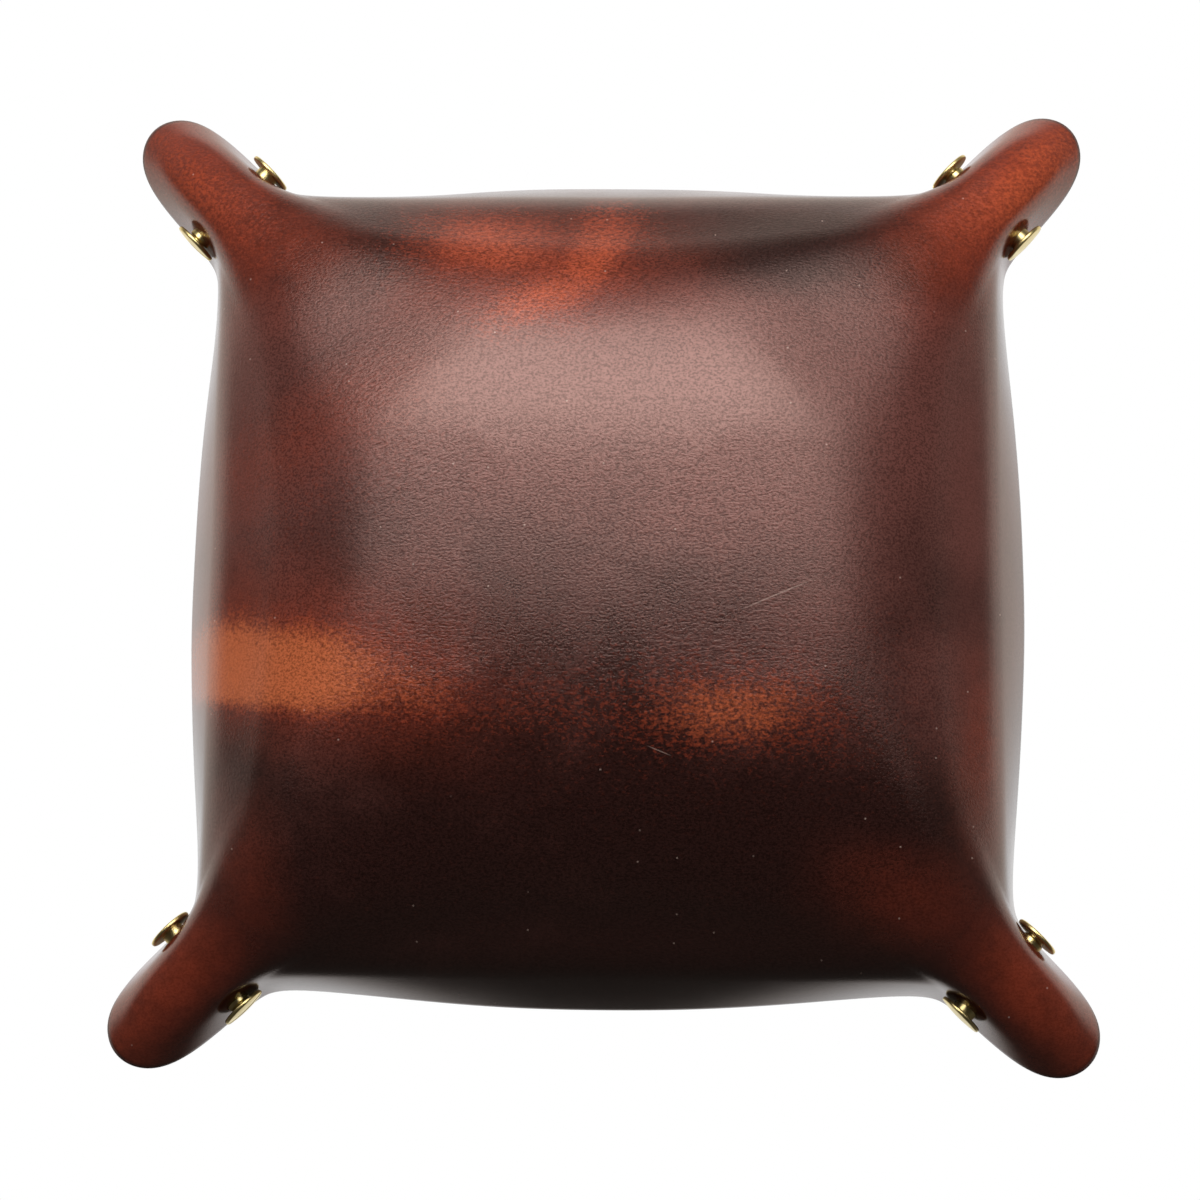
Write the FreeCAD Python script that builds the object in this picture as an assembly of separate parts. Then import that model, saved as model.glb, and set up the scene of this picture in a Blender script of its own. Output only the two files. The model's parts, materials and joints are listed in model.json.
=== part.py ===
"""Valet tray: one square of leather, its corners pinched into open ears by four brass screw posts."""

import math
import os

import FreeCAD, Part

Vector = FreeCAD.Vector

# Leather, laid flat (millimetres)
sheet_side = 228.6
sheet_corner_radius = 20.0
leather_thickness = 3.0

# Leather, folded: all of these describe the middle of its thickness
bottom_half = 46.0
bottom_corner_radius = 22.0
wall_angle = math.radians(66.5)
ridge_angle = math.radians(35.0)
ridge_bend_power = 0.7
edge_bow = 5.5
root_swell = 3.0
root_round = 8.5
corner_round = 6.0
ear_half_width = 6.0
ear_end_half_width = 15.5
fold_blend = 3.0

# Fasteners: the inset is measured from the tip of the ear, the drop from the cut edge above
fastener_inset = 26.9
fastener_drop = 9.4
head_diameter = 10.0
head_thickness = 1.3
barrel_diameter = 5.0
barrel_end_gap = 0.4
bore_depth = 8.0
shank_diameter = 4.0
shank_length = 6.4
slot_width = 1.1
slot_depth = 0.7

# Clearances
hole_clearance = 0.1
shank_clearance = 0.05
seat_clearance = 0.05

# Rings that the leather is lofted through
band_count = 13
span_count = 6
integration_steps = 60
degree = 3
wall_shares = (0.0, 0.5)
corner_spans = 5
root_height_share = 0.9
corner_height_share = 0.75
end_height_share = 0.1

diagonal = math.sqrt(2)


def bent_profile(start, run, angle_at, share):
    """Reach and height at a share of a strip that lies flat up to start and then bends upward."""
    step = share / integration_steps
    reach, height = start, 0.0
    for index in range(integration_steps):
        angle = angle_at((index + 0.5) * step)
        reach += run * step * math.cos(angle)
        height += run * step * math.sin(angle)
    return reach, height


def wall_slope(share):
    """A wall's bend is strongest at the bottom and fades out at the cut edge."""
    return wall_angle * (1 - (1 - share) ** 2)


def ridge_slope(share):
    """The ridge of an ear bends up more evenly than a wall."""
    return ridge_angle * share ** ridge_bend_power


def rounded_corner_reach(half_side, radius):
    """Distance from the centre of a square to its rounded corner."""
    return (half_side - radius) * diagonal + radius


def ridge_profile(share):
    """Reach and height of an ear's ridge."""
    start = rounded_corner_reach(bottom_half, bottom_corner_radius)
    run = rounded_corner_reach(sheet_side / 2, sheet_corner_radius) - start
    return bent_profile(start, run, ridge_slope, share)


def along(first, last, share):
    return first + (last - first) * share


def larger(first, second):
    """The larger of two lengths, with a soft change from one to the other."""
    return (first + second + math.hypot(first - second, fold_blend)) / 2


def bezier(points, share):
    """Point on the curve that a few guide points draw."""
    while len(points) > 1:
        points = [along(a, b, share) for a, b in zip(points, points[1:])]
    return points[0]


def octant_ring(share):
    """Poles from mid-side to ear tip, a share of the way from the bottom to the cut edge."""
    side_reach, side_height = bent_profile(bottom_half, sheet_side / 2 - bottom_half, wall_slope, share)
    tip_reach, tip_height = ridge_profile(share)
    bow = edge_bow * share ** 4 - root_swell * math.sin(math.pi * share) ** 2
    wall_reach = side_reach - bow
    square_width = wall_reach * diagonal - tip_reach
    root_width = larger(square_width + corner_round, ear_half_width * share)
    end_width = larger(square_width, ear_end_half_width * share ** 2)

    def pole(x, y, height_share):
        return Vector(x, y, along(tip_height, side_height, height_share))

    def ear_pole(reach, width, height_share):
        return pole((reach + width) / diagonal, (reach - width) / diagonal, height_share)

    corner = ear_pole(wall_reach * diagonal - root_width, root_width, corner_height_share)
    root_y = corner.y - root_round

    def wall_pole(part):
        return pole(side_reach - bow * part ** 2, root_y * part, along(1, root_height_share, part ** 2))

    guides = [wall_pole(1), corner, ear_pole(tip_reach, end_width, end_height_share), ear_pole(tip_reach, 0, 0)]
    return [wall_pole(part) for part in wall_shares] + [
        bezier(guides, index / corner_spans) for index in range(corner_spans + 1)]


def whole_ring(octant):
    """Mirror an octant in the diagonal and repeat the quarter round the tray."""
    quarter = octant + [Vector(p.y, p.x, p.z) for p in reversed(octant[1:-1])]
    turns = [FreeCAD.Rotation(Vector(0, 0, 1), 90 * index) for index in range(4)]
    return [turn.multVec(p) for turn in turns for p in quarter]


def ring_surface(octants):
    """Smooth surface, closed round the tray, on the poles of the given rings."""
    rings = [whole_ring(octant) for octant in octants]
    poles = [list(column) for column in zip(*rings)]
    around = len(poles)
    knots_around = list(range(around + 1))
    knots_up = list(range(len(rings) - degree + 1))
    mults_up = [degree + 1] + [1] * (len(knots_up) - 2) + [degree + 1]
    surface = Part.BSplineSurface()
    surface.buildFromPolesMultsKnots(
        poles, [1] * (around + 1), mults_up, knots_around, knots_up, True, False, degree, degree)
    return surface


def leather_octants():
    """Rings on the middle of the leather; the second one lies level so that the bottom runs on smoothly."""
    shares = [0, 1 / span_count / degree] + [index / span_count for index in range(1, span_count)]
    shares += [1 - 1 / span_count / degree, 1]
    octants = [octant_ring(share) for share in shares]
    octants[1] = [Vector(p.x, p.y, 0) for p in octants[1]]
    return octants


def shifted(octants, surface, distance):
    """The rings moved along the surface's outward normal, which points straight down at the bottom."""
    moved = []
    for row, octant in enumerate(octants):
        ring = []
        for p in octant:
            normal = Vector(0, 0, -1) if row < 2 else surface.normal(*surface.parameter(p))
            if normal.z > 0:
                normal = -normal
            ring.append(p + normal * distance)
        moved.append(ring)
    return moved


def leather_skins():
    """Grain side and flesh side of the folded leather, standing on the ground."""
    octants = leather_octants()
    middle = ring_surface(octants)
    half = leather_thickness / 2
    lift = Vector(0, 0, half)
    skins = []
    for distance in (half, -half):
        rings = shifted(octants, middle, distance)
        skins.append(ring_surface([[p + lift for p in ring] for ring in rings]))
    return skins


def level_wire(skin, share):
    """Closed curve round the tray, a share of the way up a skin."""
    last_level = skin.bounds()[3]
    return Part.Wire(skin.vIso(last_level * share).toShape())


def leather_solid():
    """Loft up the grain side, over the cut edge and down the flesh side."""
    grain, flesh = leather_skins()
    shares = [index / band_count for index in range(band_count + 1)]
    wires = [level_wire(grain, share) for share in shares]
    wires += [level_wire(flesh, share) for share in reversed(shares)]
    return Part.makeLoft(wires, True, True)


def at_ear(shape, height, index):
    """Move a shape made round the Y axis to a fastener's axis and turn it to one of the four ears."""
    placed = shape.copy()
    placed.translate(Vector(fastener_reach, 0, height))
    placed.rotate(Vector(0, 0, 0), Vector(0, 0, 1), 45 + 90 * index)
    return placed


def rod(radius, start, length):
    return Part.makeCylinder(radius, length, Vector(0, start, 0), Vector(0, 1, 0))


def fastener_height(leather):
    """Height of the fasteners' axes, below the cut edge that lies straight above."""
    section = leather.slice(Vector(1, 1, 0).normalize(), fastener_reach)
    return max(wire.optimalBoundingBox().ZMax for wire in section) - fastener_drop


def fastener_seat(leather, height):
    """Distance of a head's flat face from the ear's middle plane: the head touches the widest place under it."""
    under_heads = rod(head_diameter / 2, -bottom_half, bottom_half * 2)
    pinched = leather.common(at_ear(under_heads, height, 0))
    pinched.rotate(Vector(0, 0, 0), Vector(0, 0, 1), -45)
    return pinched.optimalBoundingBox().YMax + seat_clearance


def post_solid(seat):
    """Thin head with a hollow barrel, which reaches through both flaps."""
    barrel_start = -seat + barrel_end_gap
    barrel = rod(barrel_diameter / 2, barrel_start, seat - barrel_start)
    bore = rod(shank_diameter / 2 + shank_clearance, barrel_start, bore_depth)
    head = rod(head_diameter / 2, seat, head_thickness)
    return head.fuse(barrel).cut(bore).removeSplitter()


def screw_solid(seat):
    """Slotted head of the same size, with the shank that turns in the post's bore."""
    head_top = -seat - head_thickness
    head = rod(head_diameter / 2, head_top, head_thickness)
    shank = rod(shank_diameter / 2, -seat, shank_length)
    slot = Part.makeBox(head_diameter, slot_depth, slot_width, Vector(-head_diameter / 2, head_top, -slot_width / 2))
    return head.fuse(shank).cut(slot).removeSplitter()


fastener_reach = ridge_profile(1)[0] - fastener_inset


def main():
    os.makedirs("parts", exist_ok=True)
    leather = leather_solid()
    height = fastener_height(leather)
    seat = fastener_seat(leather, height)
    hole = rod(barrel_diameter / 2 + hole_clearance, -seat, seat * 2)
    nodes = {}
    for index, ear in enumerate(("rear_right", "rear_left", "front_left", "front_right")):
        leather = leather.cut(at_ear(hole, height, index))
        nodes["post_" + ear] = at_ear(post_solid(seat), height, index)
        nodes["screw_" + ear] = at_ear(screw_solid(seat), height, index)
    nodes["leather_tray"] = leather
    for name, shape in nodes.items():
        shape.exportStep("parts/" + name + ".step")
    print("fastener reach %.4f, height %.4f, grip %.4f" % (fastener_reach, height, 2 * seat))
    print("leather valid %s" % leather.isValid())


main()
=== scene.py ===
"""Valet tray: the dressed model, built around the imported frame."""

import json
import math

import bpy
import numpy as np
from mathutils import Matrix, Vector


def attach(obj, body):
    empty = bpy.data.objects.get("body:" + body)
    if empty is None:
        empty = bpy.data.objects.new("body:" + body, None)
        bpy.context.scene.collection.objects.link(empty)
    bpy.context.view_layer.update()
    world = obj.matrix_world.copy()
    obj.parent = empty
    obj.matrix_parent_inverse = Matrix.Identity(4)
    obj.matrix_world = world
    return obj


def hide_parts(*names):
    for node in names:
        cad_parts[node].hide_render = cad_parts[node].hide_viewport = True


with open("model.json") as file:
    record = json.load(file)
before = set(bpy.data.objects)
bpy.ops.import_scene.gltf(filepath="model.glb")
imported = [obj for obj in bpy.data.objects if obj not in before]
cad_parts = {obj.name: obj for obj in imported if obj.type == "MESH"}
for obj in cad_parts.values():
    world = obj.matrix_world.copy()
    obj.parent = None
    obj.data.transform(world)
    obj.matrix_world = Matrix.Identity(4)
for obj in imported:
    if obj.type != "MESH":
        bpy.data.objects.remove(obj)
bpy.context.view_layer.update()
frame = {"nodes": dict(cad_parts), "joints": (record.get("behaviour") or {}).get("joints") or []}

# Leather, laid flat (metres)
sheet_side = 0.2286
sheet_corner_radius = 0.020
leather_thickness = 0.003

# Leather, folded: all of these describe the middle of its thickness
bottom_half = 0.046
bottom_corner_radius = 0.022
wall_angle = math.radians(66.5)
ridge_angle = math.radians(35.0)
ridge_bend_power = 0.7
edge_bow = 0.0055
root_swell = 0.003
root_round = 0.0085
corner_round = 0.006
ear_half_width = 0.006
ear_end_half_width = 0.0155
fold_blend = 0.003
span_count = 6
integration_steps = 60
degree = 3
wall_shares = (0.0, 0.5)
corner_spans = 5
root_height_share = 0.9
corner_height_share = 0.75
end_height_share = 0.1
diagonal = math.sqrt(2)

# Leather mesh
samples_around = 10
rows_up = 76
rim_radius = 0.0009
rim_arc_steps = 4

# Softer start of the bend between the bottom and the walls than the solid has
bend_soft_width = 0.031
bend_radius = 0.029
bend_fade = (0.010, 0.030)

# Unevenness of the leather
wave_seed = 7
wave_count = 9
wave_lengths = (0.022, 0.070)
wave_height = 0.00012
wave_fade = (0.092, 0.108)

# Fasteners
ears = ("rear_right", "rear_left", "front_left", "front_right")
head_radius = 0.005
head_thickness = 0.0013
head_rim_radius = 0.0004
head_dome_rise = 0.00035
head_dome_steps = 6
head_rim_steps = 5
barrel_radius = 0.0025
barrel_end_gap = 0.0004
barrel_chamfer = 0.0003
bore_depth = 0.008
bore_radius = 0.00205
bore_tip_depth = 0.0008
bore_groove = 0.00018
shank_radius = 0.002
shank_length = 0.0064
shank_tip_chamfer = 0.0004
thread_pitch = 0.0007
thread_depth = 0.0003
thread_rows_per_turn = 8
slot_width = 0.0011
slot_depth = 0.0007
hole_clearance = 0.0001
hole_half_length = 0.046
turned_segments = 64
sharp_angle = math.radians(38)

# Camera, fitted to the outline in the photograph
camera_aim_height = 0.025
camera_tilt = 0.1612
camera_sway = 0.0338
camera_roll = 0.00947
camera_distance = 0.53195
camera_clip_share = 0.01
camera_lens = 74.478
camera_sensor = 36.0
camera_shift = (-0.00254, -0.02183)

# Lamps: place, size, power in watts
key_place = (0.185, 1.125, -0.50)
key_size = (1.93, 2.15)
key_power = 62.0
key_aim = (0.185, 1.125, 0.0)
wash_place = (0.05, 0.28, -0.75)
wash_size = (0.50, 0.50)
wash_power = 3.2
fill_place = (-0.10, 0.15, 0.90)
fill_size = (0.70, 0.70)
fill_power = 9.0
lamp_aim = (0.0, 0.0, 0.02)
lamp_colour = (1.0, 0.94, 0.90)

# Where the key lamp runs from dark to bright, in metres, and how its edges lean and close in
key_sides = ((-0.95, -0.04), (1.05, 0.16))
key_lower_edge = (0.117, 0.150)
key_upper_edge = (1.55, 0.22)
key_slant = 0.03
key_taper = (0.45, 3.10)

# Light from all round, apart from the white that the camera sees
sky_above = 1.0
sky_rear = 0.13
sky_front = 0.06
sky_below = 0.02
sky_colour = (1.0, 0.91, 0.82, 1.0)

# Headings, as parts of a unit vector, between which that light changes
front_to_rear_shares = (-0.5, 0.7)
above_front_to_rear_shares = (-0.75, -0.15)
below_to_side_shares = (-0.95, -0.1)
side_to_above_shares = (0.0, 0.4)
side_to_backdrop_shares = (0.70, 0.92)

# Floor; rays that have passed through more clear surfaces than the last value don't see it
floor_size = 3.0
floor_drop = 0.0004
floor_fade = (0.28, 0.75)
floor_clear_after = 0.5


def srgb(red, green, blue):
    """Linear colour from the usual 0 to 255 values."""
    channels = []
    for value in (red, green, blue):
        share = value / 255
        channels.append(share / 12.92 if share <= 0.04045 else ((share + 0.055) / 1.055) ** 2.4)
    return (*channels, 1.0)


# Forms of the leather


def bent_profile(start, run, angle_at, share):
    """Reach and height at a share of a strip that lies flat up to start and then bends upward."""
    step = share / integration_steps
    angles = angle_at((np.arange(integration_steps) + 0.5) * step)
    return start + run * step * np.cos(angles).sum(), run * step * np.sin(angles).sum()


def wall_slope(share):
    return wall_angle * (1 - (1 - share) ** 2)


def ridge_slope(share):
    return ridge_angle * share ** ridge_bend_power


def rounded_corner_reach(half_side, radius):
    return (half_side - radius) * diagonal + radius


def ridge_profile(share):
    """Reach and height of an ear's ridge."""
    start = rounded_corner_reach(bottom_half, bottom_corner_radius)
    run = rounded_corner_reach(sheet_side / 2, sheet_corner_radius) - start
    return bent_profile(start, run, ridge_slope, share)


def along(first, last, share):
    return first + (last - first) * share


def larger(first, second):
    """The larger of two lengths, with a soft change from one to the other."""
    return (first + second + math.hypot(first - second, fold_blend)) / 2


def bezier(points, share):
    """Point on the curve that a few guide points draw."""
    while len(points) > 1:
        points = [along(a, b, share) for a, b in zip(points, points[1:])]
    return points[0]


def octant_ring(share):
    """Poles from mid-side to ear tip, a share of the way from the bottom to the cut edge."""
    side_reach, side_height = bent_profile(bottom_half, sheet_side / 2 - bottom_half, wall_slope, share)
    tip_reach, tip_height = ridge_profile(share)
    bow = edge_bow * share ** 4 - root_swell * math.sin(math.pi * share) ** 2
    wall_reach = side_reach - bow
    square_width = wall_reach * diagonal - tip_reach
    root_width = larger(square_width + corner_round, ear_half_width * share)
    end_width = larger(square_width, ear_end_half_width * share ** 2)

    def pole(x, y, height_share):
        return np.array((x, y, along(tip_height, side_height, height_share)))

    def ear_pole(reach, width, height_share):
        return pole((reach + width) / diagonal, (reach - width) / diagonal, height_share)

    corner = ear_pole(wall_reach * diagonal - root_width, root_width, corner_height_share)
    root_y = corner[1] - root_round

    def wall_pole(part):
        return pole(side_reach - bow * part ** 2, root_y * part, along(1, root_height_share, part ** 2))

    end = ear_pole(tip_reach, end_width, end_height_share)
    guides = [wall_pole(1), corner, end, ear_pole(tip_reach, 0, 0)]
    return [wall_pole(part) for part in wall_shares] + [
        bezier(guides, index / corner_spans) for index in range(corner_spans + 1)]


def whole_ring(octant):
    """Mirror an octant in the diagonal and repeat the quarter round the tray."""
    quarter = octant + [p[[1, 0, 2]] for p in reversed(octant[1:-1])]
    ring = []
    for index in range(4):
        cosine, sine = ((1, 0), (0, 1), (-1, 0), (0, -1))[index]
        ring += [np.array((cosine * x - sine * y, sine * x + cosine * y, z)) for x, y, z in quarter]
    return ring


def surface_poles():
    """Rings on the middle of the leather; the second one lies level so that the bottom runs on smoothly."""
    shares = [0, 1 / span_count / degree] + [index / span_count for index in range(1, span_count)]
    shares += [1 - 1 / span_count / degree, 1]
    octants = [octant_ring(share) for share in shares]
    octants[1] = [p * (1, 1, 0) for p in octants[1]]
    return np.array([whole_ring(octant) for octant in octants])


def around_weights(pole_count):
    """Weights of the poles on a smooth closed curve, and on its direction."""
    places = np.arange(pole_count * samples_around) / samples_around
    first = np.floor(places).astype(int)
    t = places - first
    values = ((1 - t) ** 3 / 6, (3 * t ** 3 - 6 * t ** 2 + 4) / 6,
              (-3 * t ** 3 + 3 * t ** 2 + 3 * t + 1) / 6, t ** 3 / 6)
    slopes = (-(1 - t) ** 2 / 2, (3 * t ** 2 - 4 * t) / 2, (-3 * t ** 2 + 2 * t + 1) / 2, t ** 2 / 2)
    weights = np.zeros((2, len(places), pole_count))
    rows = np.arange(len(places))
    for order, (value, slope) in enumerate(zip(values, slopes)):
        columns = (first + order - 1) % pole_count
        weights[0, rows, columns] = value
        weights[1, rows, columns] = slope
    return weights


def portion(part, whole):
    return part / whole if whole else part * 0


def up_weights(shares, pole_count):
    """Weights of the poles on a smooth open curve, and on its direction."""
    last = pole_count - degree
    knots = np.concatenate([np.zeros(degree), np.arange(last + 1), np.full(degree, last)])
    places = np.minimum(shares, np.nextafter(1, 0)) * last
    level = [((low <= places) & (places < high)).astype(float) for low, high in zip(knots, knots[1:])]
    for step in range(1, degree + 1):
        lower = level
        level = []
        for i in range(len(lower) - 1):
            rising = portion(places - knots[i], knots[i + step] - knots[i])
            falling = portion(knots[i + step + 1] - places, knots[i + step + 1] - knots[i + 1])
            level.append(rising * lower[i] + falling * lower[i + 1])
    slopes = []
    for i in range(pole_count):
        before = portion(lower[i], knots[i + degree] - knots[i])
        after = portion(lower[i + 1], knots[i + degree + 1] - knots[i + 1])
        slopes.append(degree * (before - after))
    return np.array([level, slopes]).transpose(0, 2, 1)


def unit(vectors):
    return vectors / np.linalg.norm(vectors, axis=-1, keepdims=True)


def waviness(points):
    """Gentle unevenness of a hand-folded sheet, which fades out before the fasteners."""
    draw = np.random.default_rng(wave_seed)
    total = np.zeros(points.shape[:-1])
    for _ in range(wave_count):
        heading = draw.uniform(0, math.tau)
        phase = draw.uniform(0, math.tau)
        length = draw.uniform(*wave_lengths)
        travel = points[..., 0] * math.cos(heading) + points[..., 1] * math.sin(heading)
        total += np.sin(travel * math.tau / length + phase) * length / wave_lengths[1]
    reach = np.hypot(points[..., 0], points[..., 1])
    fade = np.clip((wave_fade[1] - reach) / (wave_fade[1] - wave_fade[0]), 0, 1)
    return total / math.sqrt(wave_count) * wave_height * fade


def soft_bend(points):
    """Lift of both sides of the leather that lets the bend start further in and more gently."""
    inset = np.abs(points[..., :2]) - (bottom_half - bottom_corner_radius)
    distance = np.hypot(*np.moveaxis(np.maximum(inset, 0), -1, 0))
    distance += np.minimum(inset.max(axis=-1), 0) - bottom_corner_radius
    width = bend_soft_width
    near = np.clip(distance, -width, width)
    lift = (near + width) ** 3 / (12 * width * bend_radius) - np.maximum(near, 0) ** 2 / (2 * bend_radius)
    fade = np.clip((bend_fade[1] - points[..., 2]) / (bend_fade[1] - bend_fade[0]), 0, 1)
    return lift * fade ** 2 * (3 - 2 * fade)


def square_sides(ring, corner):
    """The four sides of a ring of points or numbers, from corner to corner: upper, left, lower and right."""
    side = len(ring) // 4
    steps = np.arange(side + 1) + corner
    runs = [np.take(ring, steps + index * side, axis=0, mode="wrap") for index in range(4)]
    return runs[0][::-1], runs[1][::-1], runs[2], runs[3]


def filled_square(ring, corner):
    """Even grid of points inside a ring of four equal sides; the ring's corners are a quarter of it apart."""
    side = len(ring) // 4
    top, left, low, right = square_sides(ring, corner)
    share = np.arange(side + 1) / side
    u, v = share[:, None, None], share[None, :, None]
    blend = (1 - v) * low[:, None] + v * top[:, None] + (1 - u) * left[None] + u * right[None]
    corners = (1 - u) * (1 - v) * low[0] + u * (1 - v) * low[-1] + (1 - u) * v * top[0] + u * v * top[-1]
    return blend - corners


def rim_profile():
    """Steps over the cut edge, outward and upward from its middle, with both corners rounded."""
    half = leather_thickness / 2
    steps = []
    for side in (1, -1):
        arc = []
        for index in range(rim_arc_steps + 1):
            angle = math.pi / 2 * index / rim_arc_steps
            arc.append((side * (half - rim_radius + rim_radius * math.cos(angle)),
                        rim_radius * (math.sin(angle) - 1)))
        steps += arc if side > 0 else arc[::-1]
    return steps


def leather_arrays():
    """Points, faces, zone of each face and distance of each point from the cut edge."""
    poles = surface_poles()
    around, around_slope = around_weights(poles.shape[1])
    wall_length = sheet_side / 2 - bottom_half
    last_share = 1 - rim_radius / wall_length
    shares = np.append(np.linspace(0, last_share, rows_up), 1.0)
    up, up_slope = up_weights(shares, poles.shape[0])
    middle = np.einsum("vr,rcx,uc->vux", up, poles, around)
    along_ring = np.einsum("vr,rcx,uc->vux", up, poles, around_slope)
    upward = np.einsum("vr,rcx,uc->vux", up_slope, poles, around)
    outward = unit(np.cross(along_ring, upward))
    middle = middle + outward * waviness(middle)[..., None]
    half = leather_thickness / 2
    grain = middle + outward * half
    flesh = middle - outward * half
    lift = soft_bend(middle)
    edge_up = unit(upward[-1])
    rim = [middle[-1] + outward[-1] * out + edge_up * rise for out, rise in rim_profile()[1:-1]]
    rows = list(grain[:-1]) + rim + list(flesh[-2::-1])
    edge_distance = (1 - shares[:-1]) * wall_length
    row_distance = np.concatenate([edge_distance, np.zeros(len(rim)), edge_distance[::-1]])
    lifts = [np.concatenate(list(lift[:-1]) + [lift[-1]] * len(rim) + list(lift[-2::-1]))]

    ring_size = len(around)
    points = [np.concatenate(rows)]
    distances = [np.repeat(row_distance, ring_size)]
    indices = np.arange(len(rows) * ring_size).reshape(len(rows), ring_size)
    following = np.roll(indices, -1, axis=1)
    faces = [np.stack([indices[:-1], following[:-1], following[1:], indices[1:]], axis=-1).reshape(-1, 4)]
    row_zone = np.array([0] * (rows_up - 1) + [1] * (len(rim) + 1) + [2] * (rows_up - 1))
    zones = [np.repeat(row_zone, ring_size)]

    side = ring_size // 4
    corner = side // 2
    for ring_row, zone in ((0, 0), (len(rows) - 1, 2)):
        start = sum(len(p) for p in points)
        grid = filled_square(rows[ring_row], corner)
        grid_index = np.zeros((side + 1, side + 1), int)
        grid_index[1:-1, 1:-1] = start + np.arange((side - 1) ** 2).reshape(side - 1, side - 1)
        grid_index[:, -1], grid_index[0, :], grid_index[:, 0], grid_index[-1, :] = square_sides(
            indices[ring_row], corner)
        inside = grid[1:-1, 1:-1].reshape(-1, 3)
        points.append(inside)
        distances.append(np.full(len(inside), wall_length))
        lifts.append(soft_bend(inside * (1, 1, 0)))
        quads = np.stack([grid_index[:-1, :-1], grid_index[1:, :-1], grid_index[1:, 1:], grid_index[:-1, 1:]],
                         axis=-1).reshape(-1, 4)
        faces.append(quads[:, ::-1] if zone == 0 else quads)
        zones.append(np.full(len(quads), zone))
    points = np.concatenate(points)
    points[:, 2] += np.concatenate(lifts)
    points[:, 2] -= points[:, 2].min()
    return points, np.concatenate(faces), np.concatenate(zones), np.concatenate(distances)


# Mesh helpers


def linked(name, mesh):
    made = bpy.data.objects.new(name, mesh)
    bpy.context.scene.collection.objects.link(made)
    return made


def mesh_from(name, points, faces):
    mesh = bpy.data.meshes.new(name)
    mesh.from_pydata([tuple(p) for p in points], [], [tuple(int(i) for i in f) for f in faces])
    mesh.update()
    return mesh


def cut_by(target, cutter):
    """Cut one closed mesh out of another for good and drop the cutter."""
    change = target.modifiers.new("cut", "BOOLEAN")
    change.operation = "DIFFERENCE"
    change.solver = "MANIFOLD"
    change.object = cutter
    bpy.context.view_layer.update()
    depsgraph = bpy.context.evaluated_depsgraph_get()
    result = bpy.data.meshes.new_from_object(target.evaluated_get(depsgraph))
    target.modifiers.remove(change)
    target.data = result
    bpy.data.objects.remove(cutter)


def smooth(mesh):
    mesh.polygons.foreach_set("use_smooth", [True] * len(mesh.polygons))
    mesh.set_sharp_from_angle(angle=sharp_angle)


def turned(name, profile):
    """Closed mesh round the Z axis; a profile's ring is radius, height and depth of the thread cut in it."""
    angles = np.arange(turned_segments) * math.tau / turned_segments
    points, faces, rings = [], [], []
    for radius, height, cut in profile:
        first = len(points)
        if radius == 0:
            points.append((0.0, 0.0, height))
            rings.append([first] * turned_segments)
            continue
        turn = (height / thread_pitch - angles / math.tau) % 1
        reach = radius - cut * np.abs(turn * 2 - 1)
        points += list(zip(reach * np.cos(angles), reach * np.sin(angles), np.full(turned_segments, height)))
        rings.append(list(range(first, first + turned_segments)))
    for upper, lower in zip(rings, rings[1:]):
        for i in range(turned_segments):
            j = (i + 1) % turned_segments
            corners = [upper[j], upper[i], lower[i], lower[j]]
            faces.append(list(dict.fromkeys(corners)))
    return mesh_from(name, points, faces)


def head_rim(centre_height, start, end):
    """Rounded rim of a head, from one angle to another."""
    inner = head_radius - head_rim_radius
    rim = []
    for index in range(head_rim_steps + 1):
        turn = math.radians(along(start, end, index / head_rim_steps))
        reach = inner + head_rim_radius * math.cos(turn)
        rim.append((reach, centre_height + head_rim_radius * math.sin(turn), 0))
    return rim


def head_profile(seat):
    """Thin head with a low dome and rounded rims, from the middle of its top to its underside."""
    top = seat + head_thickness
    rim_top = top - head_dome_rise
    dome = []
    for index in range(head_dome_steps):
        share = index / head_dome_steps
        dome.append(((head_radius - head_rim_radius) * share, top - head_dome_rise * share ** 2, 0))
    return dome + head_rim(rim_top - head_rim_radius, 90, 0) + head_rim(seat + head_rim_radius, 0, -90)


def thread_profile(radius, start, end, cut):
    """Rings of a threaded length, with the thread running out at both ends."""
    count = int(abs(end - start) / thread_pitch * thread_rows_per_turn)
    rings = []
    for index in range(count + 1):
        share = index / count
        strength = min(1, share * count / thread_rows_per_turn, (1 - share) * count / thread_rows_per_turn)
        rings.append((radius, along(start, end, share), cut * strength))
    return rings


def post_mesh(seat):
    """Head with a hollow barrel, threaded inside."""
    end = -seat + barrel_end_gap
    bore_end = end + bore_depth
    profile = head_profile(seat) + [(barrel_radius, seat, 0)]
    profile += [(barrel_radius, end + barrel_chamfer, 0), (barrel_radius - barrel_chamfer, end, 0)]
    profile += thread_profile(bore_radius, end, bore_end - bore_tip_depth, -bore_groove)
    profile += [(0, bore_end, 0)]
    return turned("post", profile)


def screw_mesh(seat):
    """Slotted head with a threaded shank."""
    end = seat - shank_length
    profile = head_profile(seat)
    profile += thread_profile(shank_radius, seat, end + shank_tip_chamfer, thread_depth)
    profile += [(shank_radius - shank_tip_chamfer, end, 0), (0, end, 0)]
    return turned("screw", profile)


def block(name, low, high):
    """Closed box between two corners."""
    points = [(x, y, z) for x in (low[0], high[0]) for y in (low[1], high[1]) for z in (low[2], high[2])]
    faces = [(0, 1, 3, 2), (4, 6, 7, 5), (0, 4, 5, 1), (2, 3, 7, 6), (0, 2, 6, 4), (1, 5, 7, 3)]
    return linked(name, mesh_from(name, points, faces))


# Materials


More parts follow.
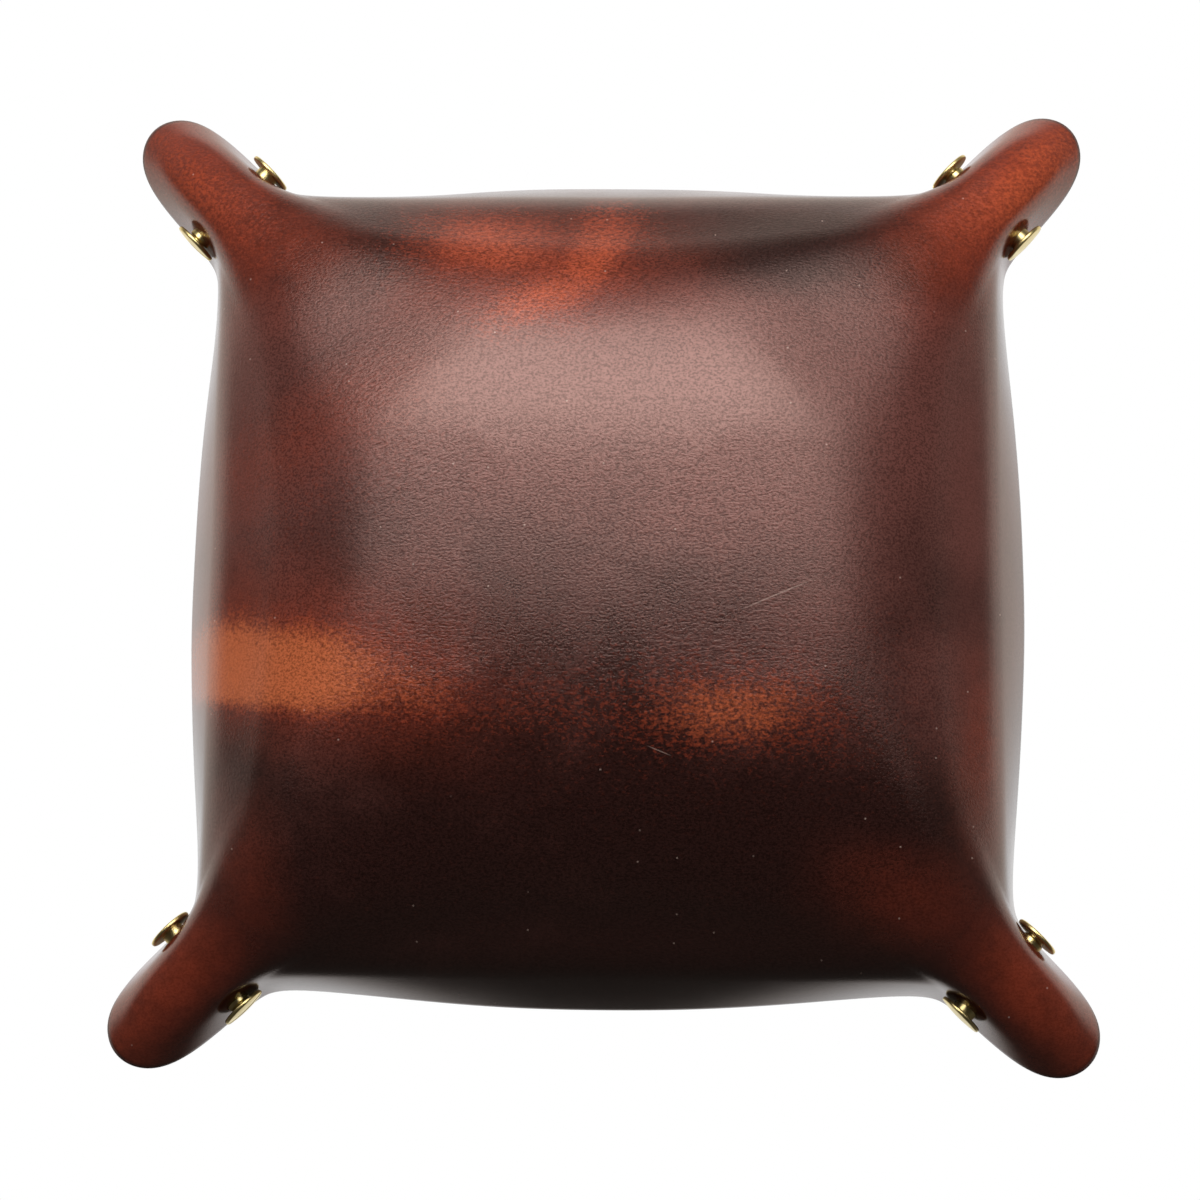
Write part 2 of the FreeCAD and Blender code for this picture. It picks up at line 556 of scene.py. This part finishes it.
class Shader:
    """Short calls that build a node tree."""

    def __init__(self, tree):
        self.tree = tree
        tree.nodes.clear()

    def node(self, kind, inputs=None, **settings):
        made = self.tree.nodes.new(kind)
        for key, value in settings.items():
            setattr(made, key, value)
        for key, value in (inputs or {}).items():
            if isinstance(value, bpy.types.NodeSocket):
                self.tree.links.new(value, made.inputs[key])
            else:
                made.inputs[key].default_value = value
        return made

    def math(self, operation, first, second=0.0, clamp=False):
        made = self.node("ShaderNodeMath", {0: first, 1: second}, operation=operation, use_clamp=clamp)
        return made.outputs[0]

    def ramp(self, value, low, high, to_low=0.0, to_high=1.0):
        """Smooth step of a value from one level to another."""
        return self.node(
            "ShaderNodeMapRange",
            {"Value": value, "From Min": low, "From Max": high, "To Min": to_low, "To Max": to_high},
            interpolation_type="SMOOTHSTEP").outputs[0]

    def mix(self, share, first, second):
        return self.node("ShaderNodeMix", {0: share, 6: first, 7: second}, data_type="RGBA").outputs[2]

    def mix_value(self, share, first, second):
        return self.node("ShaderNodeMix", {0: share, 2: first, 3: second}, data_type="FLOAT").outputs[0]

    def vector(self, operation, *inputs):
        return self.node("ShaderNodeVectorMath", dict(enumerate(inputs)), operation=operation).outputs[0]

    def noise(self, place, settings, output="Fac"):
        """Noise with a scale per metre, octaves of detail and a roughness."""
        scale, detail, roughness = settings
        return self.node("ShaderNodeTexNoise", {
            "Vector": place, "Scale": scale, "Detail": detail, "Roughness": roughness}).outputs[output]

    def bump(self, height, strength, distance):
        return self.node("ShaderNodeBump", {
            "Height": height, "Strength": strength, "Distance": distance}).outputs[0]

    def object_place(self):
        return self.node("ShaderNodeTexCoord").outputs["Object"]

    def parts(self, vector):
        return self.node("ShaderNodeSeparateXYZ", {0: vector}).outputs

    def surface(self, shader):
        self.node("ShaderNodeOutputMaterial", {"Surface": shader})


def new_material(name):
    material = bpy.data.materials.new(name)
    material.use_nodes = True
    return material, Shader(material.node_tree)


# Colours
base_dark = srgb(38, 20, 18)
base_warm = srgb(92, 55, 50)
pull_red = srgb(124, 51, 33)
pull_orange = srgb(172, 92, 56)
pull_warm_red = srgb(168, 78, 48)
edge_dark = srgb(46, 22, 16)
suede_dark = srgb(92, 52, 36)
suede_light = srgb(132, 82, 58)
brass_bright = srgb(240, 226, 164)
brass_dull = srgb(212, 190, 124)
floor_colour = srgb(236, 236, 234)
white = (1.0, 1.0, 1.0, 1.0)
speck_pale = srgb(190, 170, 160)
sheen_tint = (1.0, 0.74, 0.68, 1.0)

# Strokes where the leather's wax has moved and its lighter colour shows: centre x and y, half length,
# half width, turn in degrees, then how softly the two ends and the two sides fade, and the strength
strokes = (
    ((0.0250, 0.0700), (0.0170, 0.0090), 4, (0.9, 0.9), (0.9, 0.9), 0.50),
    ((0.0030, 0.0660), (0.0160, 0.0075), -62, (0.8, 0.9), (0.65, 1.0), 0.50),
    ((0.0130, 0.0560), (0.0150, 0.0065), -24, (0.9, 0.9), (0.9, 1.0), 0.56),
    ((0.0940, 0.0890), (0.0260, 0.0080), 45, (0.9, 0.9), (0.9, 0.9), 0.42),
    ((-0.0940, 0.0890), (0.0260, 0.0080), -45, (0.9, 0.9), (0.9, 0.9), 0.58),
    ((0.0050, -0.0310), (0.0420, 0.0060), 0, (0.9, 0.9), (0.9, 0.9), 0.20),
    ((0.0700, -0.0214), (0.0250, 0.0084), 9, (1.0, 0.3), (0.65, 1.0), 0.94),
    ((0.0440, -0.0262), (0.0180, 0.0070), 8, (0.9, 0.5), (0.8, 0.9), 0.41),
    ((-0.0280, -0.0310), (0.0190, 0.0080), 2, (0.9, 0.9), (0.8, 0.9), 0.48),
)

# Bends and rubbed places where the colour only turns redder, written the same way
red_places = (
    ((0.0140, 0.0660), (0.0260, 0.0120), 4, (0.9, 0.5), (0.9, 0.9), 0.80),
    ((0.0640, -0.0195), (0.0330, 0.0150), 9, (0.9, 0.4), (0.9, 0.9), 0.70),
    ((0.0900, 0.0850), (0.0340, 0.0120), 45, (0.6, 0.6), (0.9, 0.9), 0.65),
    ((0.0660, 0.0690), (0.0130, 0.0090), 30, (0.9, 0.9), (0.9, 0.9), 0.55),
    ((-0.0900, 0.0850), (0.0340, 0.0120), -45, (0.6, 0.6), (0.9, 0.9), 0.90),
    ((0.0980, -0.0930), (0.0240, 0.0120), -45, (0.6, 0.6), (0.9, 0.9), 0.80),
    ((0.0740, -0.0640), (0.0070, 0.0130), -10, (0.9, 0.9), (0.9, 0.9), 0.30),
    ((-0.0980, -0.0930), (0.0240, 0.0120), 45, (0.6, 0.6), (0.9, 0.9), 0.80),
    ((-0.0640, -0.0700), (0.0150, 0.0090), 10, (0.9, 0.9), (0.9, 0.9), 0.34),
    ((-0.0820, -0.0400), (0.0060, 0.0180), 0, (0.9, 0.9), (0.9, 0.9), 0.60),
    ((0.0620, 0.0270), (0.0240, 0.0080), -24, (0.9, 0.9), (0.9, 0.9), 0.36),
)

# Places where the dark base is lighter, written the same way: the first is painted sheen, where the key
# lamp's reflection reaches lower on the -X side of the bottom, the second is painted light on the rear half
# of the bottom, and the last is a paler tone
paler_tone_and_painted_light_places = (
    ((-0.0450, -0.0220), (0.0260, 0.0180), 0, (1.0, 0.9), (0.9, 0.9), 0.22),
    ((0.0000, 0.0300), (0.0700, 0.0300), 0, (0.9, 0.9), (0.9, 0.9), 0.16),
    ((-0.0640, -0.0300), (0.0200, 0.0160), 0, (0.9, 0.9), (0.9, 0.9), 0.30),
)

# Places where it is darker, written the same way: the first is painted shade on the rear wall that tones down
# the key lamp's light there, the last is painted shade that dims the sheen in the middle of the bottom, and
# the middle one is a darker tone
darker_tone_and_painted_shade_places = (
    ((0.0000, 0.0730), (0.0900, 0.0140), 0, (0.5, 0.5), (0.5, 0.9), 0.42),
    ((0.0650, 0.0030), (0.0220, 0.0130), 8, (0.9, 0.9), (0.8, 0.9), 0.20),
    ((0.0100, -0.0120), (0.0330, 0.0120), 0, (0.9, 0.9), (0.9, 0.9), 0.17),
)

# Patches of fine wrinkles: written the same way, the turn is the way that the wrinkles run
creases = (
    ((0.0250, 0.0640), (0.0300, 0.0160), 8, (0.6, 0.6), (0.6, 0.6), 0.8),
    ((0.0020, 0.0650), (0.0200, 0.0130), -58, (0.5, 0.5), (0.5, 0.5), 1.0),
    ((0.0580, 0.0230), (0.0300, 0.0200), -26, (0.6, 0.6), (0.6, 0.6), 1.0),
    ((0.0600, -0.0230), (0.0400, 0.0140), 8, (0.5, 0.5), (0.5, 0.5), 0.9),
    ((-0.0250, -0.0280), (0.0500, 0.0200), 0, (0.6, 0.6), (0.6, 0.6), 0.7),
    ((0.0800, 0.0780), (0.0260, 0.0180), -45, (0.6, 0.6), (0.6, 0.6), 0.8),
    ((-0.0800, 0.0780), (0.0260, 0.0180), 45, (0.6, 0.6), (0.6, 0.6), 0.8),
)
crease_size = (0.0030, 0.0007, 0.0007)
crease_noise = (1.0, 3.0, 0.6)

# Scratches, written like the strokes
scratches = (
    ((-0.0367, -0.0078), (0.0062, 0.00010), -24, (0.5, 0.5), (0.9, 0.9), 0.30),
    ((-0.0125, -0.0400), (0.0020, 0.00008), 22, (0.5, 0.5), (0.9, 0.9), 0.30),
)


def stroke_mask(shader, place, stroke):
    """One stroke, 0 outside and up to its strength inside."""
    (x, y), (half_length, half_width), turn, ends, sides, strength = stroke
    local = shader.node("ShaderNodeMapping", {
        "Vector": place, "Location": (x, y, 0.0), "Rotation": (0.0, 0.0, math.radians(turn)),
        "Scale": (half_length, half_width, 1.0)}, vector_type="TEXTURE").outputs[0]
    parts = shader.parts(local)
    mask = strength
    for part, (low, high) in ((parts["X"], ends), (parts["Y"], sides)):
        mask = shader.math("MULTIPLY", mask, shader.ramp(part, -1.0 - low, -1.0 + low))
        mask = shader.math("MULTIPLY", mask, shader.ramp(part, 1.0 + high, 1.0 - high))
    return mask


def strongest(shader, place, masks):
    """The strongest of several strokes at each place."""
    total = 0.0
    for stroke in masks:
        total = shader.math("MAXIMUM", stroke_mask(shader, place, stroke), total)
    return total


def wrinkles(shader, place):
    """Height of the fine wrinkles, which run along each patch."""
    total = 0.0
    for patch in creases:
        turned_place = shader.node("ShaderNodeMapping", {
            "Vector": place, "Rotation": (0.0, 0.0, math.radians(patch[2])), "Scale": crease_size},
            vector_type="TEXTURE").outputs[0]
        ripple = shader.noise(turned_place, crease_noise)
        mask = stroke_mask(shader, place, patch)
        total = shader.math("MAXIMUM", shader.math("MULTIPLY", mask, ripple), total)
    return total


# How the strokes' outlines wander: noise, and travel in metres
drifts = (((42.0, 3.0, 0.6), 0.007), ((300.0, 3.0, 0.6), 0.0024))
noise_middle = (0.5, 0.5, 0.5)

# How the fibres break up the strokes
fibre_noise = (1300.0, 3.0, 0.7)
fibre_stretch_shares = (0.7, 1.0, 1.0)
fibre_levels = (0.32, 0.68)
fibre_strength = 0.75
fibre_ripple_share = 0.5
stroke_gain = 1.35
stroke_levels = (-0.15, 1.0)


def pulled_up(shader, place, ripple):
    """Share of the lighter colour that shows at each place, how strong it is there, and the share of red."""
    moved = place
    for settings, travel in drifts:
        shift = shader.vector("SUBTRACT", shader.noise(place, settings, "Color"), noise_middle)
        moved = shader.vector("MULTIPLY_ADD", shift, (travel, travel, 0.0), moved)
    total = strongest(shader, moved, strokes)
    red = strongest(shader, moved, red_places)
    fibre = shader.noise(shader.vector("MULTIPLY", place, fibre_stretch_shares), fibre_noise)
    grit = shader.ramp(fibre, *fibre_levels, 0.0, fibre_strength)
    grit = shader.math("SUBTRACT", grit, shader.math("MULTIPLY", ripple, fibre_ripple_share))
    worn = shader.math("SUBTRACT", shader.math("MULTIPLY", total, stroke_gain), grit)
    return shader.ramp(worn, *stroke_levels), total, red


# Specks of dust, scattered one to a cell: cells per metre, the share of cells that has one, its size in cells
speck_scale = 130.0
speck_chosen_shares = (0.86, 0.90)
speck_size_shares = (0.034, 0.016)
speck_strength = 0.35


def worn_marks(shader, place, colour):
    """A few fine scratches and pale specks of dust on top of a colour."""
    marks = strongest(shader, place, scratches)
    cells = shader.node("ShaderNodeTexVoronoi", {"Vector": place, "Scale": speck_scale},
                        voronoi_dimensions="2D").outputs
    chosen = shader.ramp(shader.parts(cells["Color"])["X"], *speck_chosen_shares)
    dot = shader.ramp(cells["Distance"], *speck_size_shares, 0.0, speck_strength)
    marks = shader.math("MAXIMUM", shader.math("MULTIPLY", chosen, dot), marks)
    return shader.mix(marks, colour, speck_pale)


# Grain side: noises, then levels from and to which each layer runs; lengths along the leather in metres
cloud_noise = (24.0, 5.0, 0.6)
mottle_noise = (190.0, 5.0, 0.7)
pebble_noise = (2200.0, 3.0, 0.65)
gloss_noise = (60.0, 4.0, 0.6)
pebble_stretch_shares = (0.75, 1.0, 1.0)
front_to_rear = (-0.065, 0.030)
front_to_rear_tone = (-0.32, 0.12)
tone_levels = (0.2, 0.8)
mottle_levels = (0.2, 0.8)
mottle_strength = (0.5, 1.0)
orange_to_red = (0.020, 0.050)
heat_levels = (0.15, 0.75)
edge_stain = (0.0002, 0.0018)
wall_to_bottom = (0.030, 0.050)
pebble_levels = (0.36, 0.60)
# Depth of the colour's pits from walls to bottom, and lightness of its pebble tops: partly the grain's own
# tone, partly painted shade and painted highlight of the grain
pebble_painted_shade_wall_to_bottom = (0.86, 0.56)
pebble_tone_and_painted_highlight = 1.14
bump_fade_in = (0.004, 0.040)
bump_strength = (0.10, 0.64)
grain_depth = 0.0001
gloss_levels = (0.3, 0.7)
grain_roughness = (0.14, 0.18)
grain_specular = (0.66, 1.0)


def grain_colour(shader, place, edge, ripple, pebble):
    """Dark base that turns redder and lighter where it is bent or rubbed, and darker at the cut edge; its
    tone also carries painted light and painted shade in a few places, and painted shade in the grain's pits.
    """
    shown, heat, red = pulled_up(shader, place, ripple)
    y = shader.parts(place)["Y"]
    rear = shader.ramp(y, *front_to_rear, *front_to_rear_tone)
    # Painted light and painted shade from the two lists of places go into the base's tone here
    lifted = shader.math("ADD", strongest(shader, place, paler_tone_and_painted_light_places), rear)
    lifted = shader.math("SUBTRACT", lifted, strongest(shader, place, darker_tone_and_painted_shade_places))
    tone = shader.ramp(shader.math("ADD", shader.noise(place, cloud_noise), lifted), *tone_levels)
    base = shader.mix(tone, base_dark, base_warm)
    mottle = shader.ramp(shader.noise(place, mottle_noise), *mottle_levels, *mottle_strength)
    base = shader.mix(shader.math("MULTIPLY", red, mottle), base, pull_red)
    warm = shader.mix(shader.ramp(y, *orange_to_red), pull_orange, pull_warm_red)
    lighter = shader.mix(shader.ramp(heat, *heat_levels), pull_red, warm)
    colour = shader.mix(shown, base, lighter)
    colour = shader.mix(shader.ramp(edge, *edge_stain), edge_dark, colour)
    # Pits darkened and pebble tops lightened in the colour: partly the grain's own tone, partly painted shade
    # and painted highlight standing in for the pebbled relief
    deepest_pore_and_painted_shade = shader.ramp(edge, *wall_to_bottom, *pebble_painted_shade_wall_to_bottom)
    pore_tone_and_painted_grain_shade = shader.mix_value(shader.ramp(pebble, *pebble_levels), deepest_pore_and_painted_shade, pebble_tone_and_painted_highlight)
    return worn_marks(shader, place, shader.vector("MULTIPLY", colour, pore_tone_and_painted_grain_shade))


def grain_leather():
    """Waxed pull-up leather with a fine pebbled grain."""
    material, shader = new_material("grain_leather")
    place = shader.object_place()
    edge = shader.node("ShaderNodeAttribute", attribute_name="edge_distance").outputs["Fac"]
    ripple = wrinkles(shader, place)
    pebble = shader.noise(shader.vector("MULTIPLY", place, pebble_stretch_shares), pebble_noise)
    strength = shader.ramp(edge, *bump_fade_in, *bump_strength)
    skin = shader.node("ShaderNodeBsdfPrincipled", {
        "Base Color": grain_colour(shader, place, edge, ripple, pebble),
        "Roughness": shader.ramp(shader.noise(place, gloss_noise), *gloss_levels, *grain_roughness),
        "Specular IOR Level": shader.ramp(pebble, *pebble_levels, *grain_specular),
        "Specular Tint": sheen_tint,
        "Normal": shader.bump(shader.math("ADD", pebble, ripple), strength, grain_depth)})
    shader.surface(skin.outputs[0])
    return material


# Cut edge
edge_noise = (900.0, 5.0, 0.7)
edge_levels = (0.3, 0.7)
edge_roughness = 0.42
edge_bump_strength = 0.3
edge_depth = 0.0002


def cut_edge():
    """Burnished cut edge."""
    material, shader = new_material("cut_edge")
    fibre = shader.noise(shader.object_place(), edge_noise)
    skin = shader.node("ShaderNodeBsdfPrincipled", {
        "Base Color": shader.mix(shader.ramp(fibre, *edge_levels), edge_dark, base_warm),
        "Roughness": edge_roughness, "Normal": shader.bump(fibre, edge_bump_strength, edge_depth)})
    shader.surface(skin.outputs[0])
    return material


# Flesh side
suede_noise = (30.0, 6.0, 0.65)
nap_noise = (1300.0, 5.0, 0.75)
nap_tone = (0.6, -0.3)
suede_roughness = 0.9
suede_sheen = 0.25
nap_bump_strength = 0.6
nap_depth = 0.0004


def flesh_suede():
    """Matt flesh side with a short nap."""
    material, shader = new_material("flesh_suede")
    place = shader.object_place()
    nap = shader.noise(place, nap_noise)
    tone = shader.math("ADD", shader.math("MULTIPLY", nap, nap_tone[0]), nap_tone[1])
    tone = shader.math("ADD", shader.noise(place, suede_noise), tone, clamp=True)
    skin = shader.node("ShaderNodeBsdfPrincipled", {
        "Base Color": shader.mix(tone, suede_dark, suede_light), "Roughness": suede_roughness,
        "Sheen Weight": suede_sheen, "Normal": shader.bump(nap, nap_bump_strength, nap_depth)})
    shader.surface(skin.outputs[0])
    return material


# Brass
tarnish_noise = (300.0, 5.0, 0.6)
tarnish_levels = (0.25, 0.8)
tarnish_strength = 0.7
brass_roughness = (0.28, 0.40)
brass_fine_noise = (5200.0, 3.0, 0.6)
brass_bump_strength = 0.08
brass_depth = 0.0001


def aged_brass():
    """Polished brass, a little dulled and scratched by use."""
    material, shader = new_material("aged_brass")
    place = shader.object_place()
    cloud = shader.noise(place, tarnish_noise)
    dulled = shader.ramp(cloud, *tarnish_levels, 0.0, tarnish_strength)
    fine = shader.noise(place, brass_fine_noise)
    skin = shader.node("ShaderNodeBsdfPrincipled", {
        "Base Color": shader.mix(dulled, brass_bright, brass_dull), "Metallic": 1.0,
        "Roughness": shader.ramp(cloud, *tarnish_levels, *brass_roughness),
        "Normal": shader.bump(fine, brass_bump_strength, brass_depth)})
    shader.surface(skin.outputs[0])
    return material


# Pieces


def axis_frame(ear):
    """Point on a fastener's axis in the ear's middle plane, and the axis towards the slotted head."""
    joint = next(j for j in frame["joints"] if j["name"] == "screw_turn_" + ear)
    return Vector(joint["pos_m"]), Vector(joint["axis"]).normalized()


def turned_to(place, axis):
    """Matrix that puts a piece made round the Z axis on a fastener's axis."""
    up = Vector((0, 0, 1))
    turn = Matrix((up.cross(axis), up, axis)).transposed()
    turn.col[1] = axis.cross(turn.col[0])
    return Matrix.Translation(place) @ turn.to_4x4()


def seat_of(node, place, axis):
    """Distance of a head's flat face from the ear's middle plane."""
    return max((v.co - place).dot(axis) for v in frame["nodes"][node].data.vertices) - head_thickness


def make_leather():
    points, faces, zones, distances = leather_arrays()
    mesh = mesh_from("leather", points, faces)
    mesh.polygons.foreach_set("material_index", zones.astype(np.int32))
    mesh.attributes.new("edge_distance", "FLOAT", "POINT").data.foreach_set("value", distances)
    materials = [grain_leather(), cut_edge(), flesh_suede()]
    for material in materials:
        mesh.materials.append(material)
    leather = linked("leather", mesh)
    radius = barrel_radius + hole_clearance
    hole_profile = [(0, hole_half_length, 0), (radius, hole_half_length, 0), (radius, -hole_half_length, 0),
                    (0, -hole_half_length, 0)]
    for ear in ears:
        place, axis = axis_frame(ear)
        hole_mesh = turned("hole", hole_profile)
        for material in materials:
            hole_mesh.materials.append(material)
        hole_mesh.polygons.foreach_set("material_index", [1] * len(hole_mesh.polygons))
        hole = linked("hole", hole_mesh)
        hole.matrix_world = turned_to(place, axis)
        cut_by(leather, hole)
    smooth(leather.data)
    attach(leather, "leather")
    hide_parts("leather_tray")


def make_fasteners():
    brass = aged_brass()
    for ear in ears:
        place, axis = axis_frame(ear)
        for kind, heading in (("post", -axis), ("screw", axis)):
            node = kind + "_" + ear
            seat = seat_of(node, place, heading)
            mesh = post_mesh(seat) if kind == "post" else screw_mesh(seat)
            mesh.materials.append(brass)
            piece = linked("brass_" + node, mesh)
            if kind == "screw":
                top = seat + head_thickness
                slot = block("slot", (-head_radius * 2, -slot_width / 2, top - slot_depth),
                             (head_radius * 2, slot_width / 2, top + slot_depth))
                cut_by(piece, slot)
            smooth(piece.data)
            piece.matrix_world = turned_to(place, heading)
            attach(piece, node)
            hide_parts(node)


# Studio


def make_camera():
    """Camera below the tray, looking up at its underside as the photograph does."""
    forward = Vector((math.sin(camera_sway), math.sin(camera_tilt),
                      math.cos(camera_tilt) * math.cos(camera_sway))).normalized()
    right = forward.cross(Vector((0, 1, 0))).normalized()
    up = right.cross(forward)
    cosine, sine = math.cos(camera_roll), math.sin(camera_roll)
    right, up = right * cosine + up * sine, up * cosine - right * sine
    camera = bpy.data.objects.new("camera", bpy.data.cameras.new("camera"))
    bpy.context.scene.collection.objects.link(camera)
    turn = Matrix((right, up, -forward)).transposed().to_4x4()
    place = Vector((0, 0, camera_aim_height)) - forward * camera_distance
    camera.matrix_world = Matrix.Translation(place) @ turn
    camera.data.sensor_width = camera_sensor
    camera.data.lens = camera_lens
    camera.data.shift_x, camera.data.shift_y = camera_shift
    camera.data.clip_start = camera_distance * camera_clip_share
    bpy.context.scene.camera = camera


def make_lamp(name, place, size, power, aim=lamp_aim, glossy=True):
    data = bpy.data.lights.new(name, "AREA")
    data.shape = "RECTANGLE"
    data.size, data.size_y = size
    data.energy = power
    data.color = lamp_colour
    lamp = bpy.data.objects.new(name, data)
    bpy.context.scene.collection.objects.link(lamp)
    lamp.location = place
    lamp.visible_glossy = glossy
    lamp.rotation_euler = (Vector(aim) - Vector(place)).to_track_quat("-Z", "Y").to_euler()
    return data


def make_key():
    """Large soft lamp that fades out towards its edges, so that its sheen has no hard border."""
    data = make_lamp("key", key_place, key_size, key_power, key_aim)
    data.use_nodes = True
    shader = Shader(data.node_tree)
    place = shader.node("ShaderNodeNewGeometry").outputs["Position"]
    parts = shader.parts(place)
    height = shader.math("SUBTRACT", parts["Y"], shader.math("MULTIPLY", parts["X"], key_slant))
    widened = shader.math("ADD", shader.math("MULTIPLY", parts["Y"], key_taper[1]), key_taper[0])
    across = shader.math("MULTIPLY", parts["X"], widened)
    strength = 1.0
    for value, edges in ((across, key_sides), (height, (key_lower_edge, key_upper_edge))):
        for dark, bright in edges:
            strength = shader.math("MULTIPLY", strength, shader.ramp(value, dark, bright))
    light = shader.node("ShaderNodeEmission", {"Strength": strength})
    shader.node("ShaderNodeOutputLight", {"Surface": light.outputs[0]})


def make_world():
    """White for the camera; elsewhere light that is strongest from above."""
    world = bpy.data.worlds.new("studio")
    bpy.context.scene.world = world
    world.use_nodes = True
    shader = Shader(world.node_tree)
    heading = shader.node("ShaderNodeTexCoord").outputs["Generated"]
    parts = shader.parts(heading)
    level = shader.ramp(parts["Y"], *front_to_rear_shares, sky_front, sky_rear)
    above = shader.ramp(parts["Y"], *above_front_to_rear_shares, sky_front, sky_above)
    lower = shader.mix_value(shader.ramp(parts["Z"], *below_to_side_shares), sky_below, level)
    strength = shader.mix_value(shader.ramp(parts["Z"], *side_to_above_shares), lower, above)
    path = shader.node("ShaderNodeLightPath").outputs
    mirrored = shader.math("MAXIMUM", path["Is Glossy Ray"], path["Is Transmission Ray"])
    backdrop = shader.math("MULTIPLY", mirrored, shader.ramp(parts["Z"], *side_to_backdrop_shares))
    seen = shader.math("MAXIMUM", path["Is Camera Ray"], backdrop)
    light = shader.node("ShaderNodeBackground", {
        "Color": shader.mix(seen, sky_colour, white), "Strength": shader.math("MAXIMUM", strength, seen)})
    shader.node("ShaderNodeOutputWorld", {"Surface": light.outputs[0]})


def make_floor():
    """Pale floor under the tray that fades into the white round it; a look from below passes through it."""
    material, shader = new_material("floor")
    place = shader.object_place()
    reach = shader.node("ShaderNodeVectorMath", {0: place}, operation="LENGTH").outputs["Value"]
    share = shader.ramp(reach, floor_fade[1], floor_fade[0])
    passed = shader.node("ShaderNodeLightPath").outputs["Transparent Depth"]
    behind = shader.node("ShaderNodeNewGeometry").outputs["Backfacing"]
    share = shader.math("MULTIPLY", share, shader.math("LESS_THAN", passed, floor_clear_after))
    share = shader.math("MULTIPLY", share, shader.math("SUBTRACT", 1.0, behind))
    pale = shader.node("ShaderNodeBsdfDiffuse", {"Color": floor_colour}).outputs[0]
    clear = shader.node("ShaderNodeBsdfTransparent").outputs[0]
    shader.surface(shader.node("ShaderNodeMixShader", {0: share, 1: clear, 2: pale}).outputs[0])
    half = floor_size / 2
    points = [(-half, -half, -floor_drop), (half, -half, -floor_drop), (half, half, -floor_drop),
              (-half, half, -floor_drop)]
    floor = linked("floor", mesh_from("floor", points, [(0, 1, 2, 3)]))
    floor.data.materials.append(material)


make_leather()
make_fasteners()
make_camera()
make_key()
make_lamp("wash", wash_place, wash_size, wash_power, glossy=False)
make_lamp("fill", fill_place, fill_size, fill_power, glossy=False)
make_world()
make_floor()
bpy.context.scene.view_settings.view_transform = "Standard"
